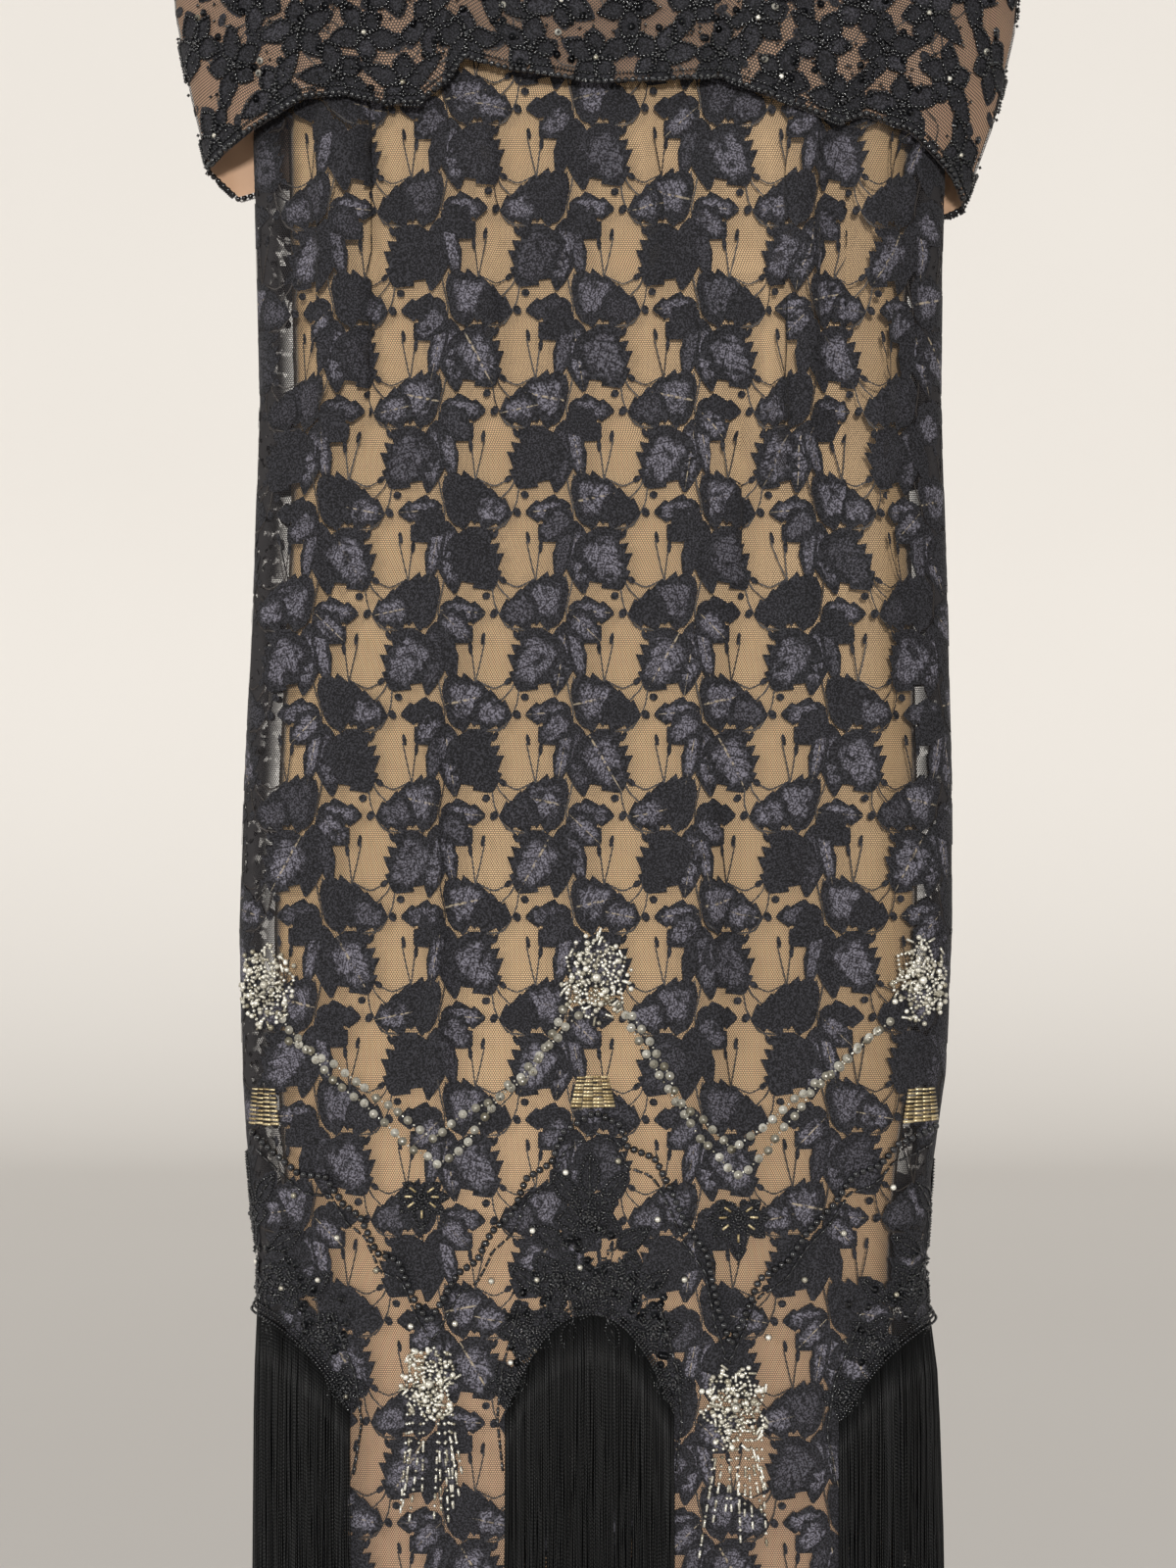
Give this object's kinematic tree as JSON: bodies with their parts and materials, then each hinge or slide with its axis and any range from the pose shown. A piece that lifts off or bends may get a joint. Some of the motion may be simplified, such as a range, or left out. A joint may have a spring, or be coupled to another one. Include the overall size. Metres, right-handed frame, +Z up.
{
  "type": "flapper dress on a hanger",
  "caption": "Straight black leaf-lace dress over a nude lining, with a beaded sleeved yoke, silver bead rosettes, a black bead zigzag and fringe panels, on a plain hanger.",
  "frame": {"origin": "the point inside the top of the hanger's hook that bears on the rail", "axes": "+Z up, -Y towards the viewer in front of the dress, +X to the viewer's right"},
  "size_m": [0.5448, 0.0934, 1.4487],
  "materials": {
    "lace": "black leaf lace on net",
    "nude_lining": "nude satin lining",
    "fringe_cord": "black twisted rayon fringe",
    "black_bead": "black glass beads and bugles",
    "silver_bead": "clear silver-lined beads and sequins",
    "champagne_bead": "champagne bugle beads",
    "hanger_wood": "satin varnish",
    "hook_steel": "plated wire"
  },
  "bodies": {
    "root": {"lace_front": "lace", "lace_back": "lace", "yoke_front": "lace", "yoke_back": "lace", "lining_front": "nude_lining", "lining_back": "nude_lining", "yoke_lining_front": "nude_lining", "yoke_lining_back": "nude_lining", "fringe_front": "fringe_cord", "fringe_left": "fringe_cord", "fringe_right": "fringe_cord", "fringe_back": "fringe_cord", "yoke_edging_front": "black_bead", "yoke_edging_back": "black_bead", "applique_front": "black_bead", "applique_left": "black_bead", "applique_right": "black_bead", "applique_back": "black_bead", "bead_border_front": "black_bead", "bead_border_back": "black_bead", "petal_motif_front_left": "black_bead", "petal_motif_front_right": "black_bead", "petal_motif_back_left": "black_bead", "petal_motif_back_right": "black_bead", "rosette_upper_front": "silver_bead", "rosette_upper_left": "silver_bead", "rosette_upper_right": "silver_bead", "rosette_upper_back": "silver_bead", "rosette_lower_front_left": "silver_bead", "rosette_lower_front_right": "silver_bead", "rosette_lower_back_left": "silver_bead", "rosette_lower_back_right": "silver_bead", "bugle_block_front": "champagne_bead", "bugle_block_left": "champagne_bead", "bugle_block_right": "champagne_bead", "bugle_block_back": "champagne_bead", "hanger_arms": "hanger_wood", "hanger_hook": "hook_steel"}
  },
  "joints": []
}
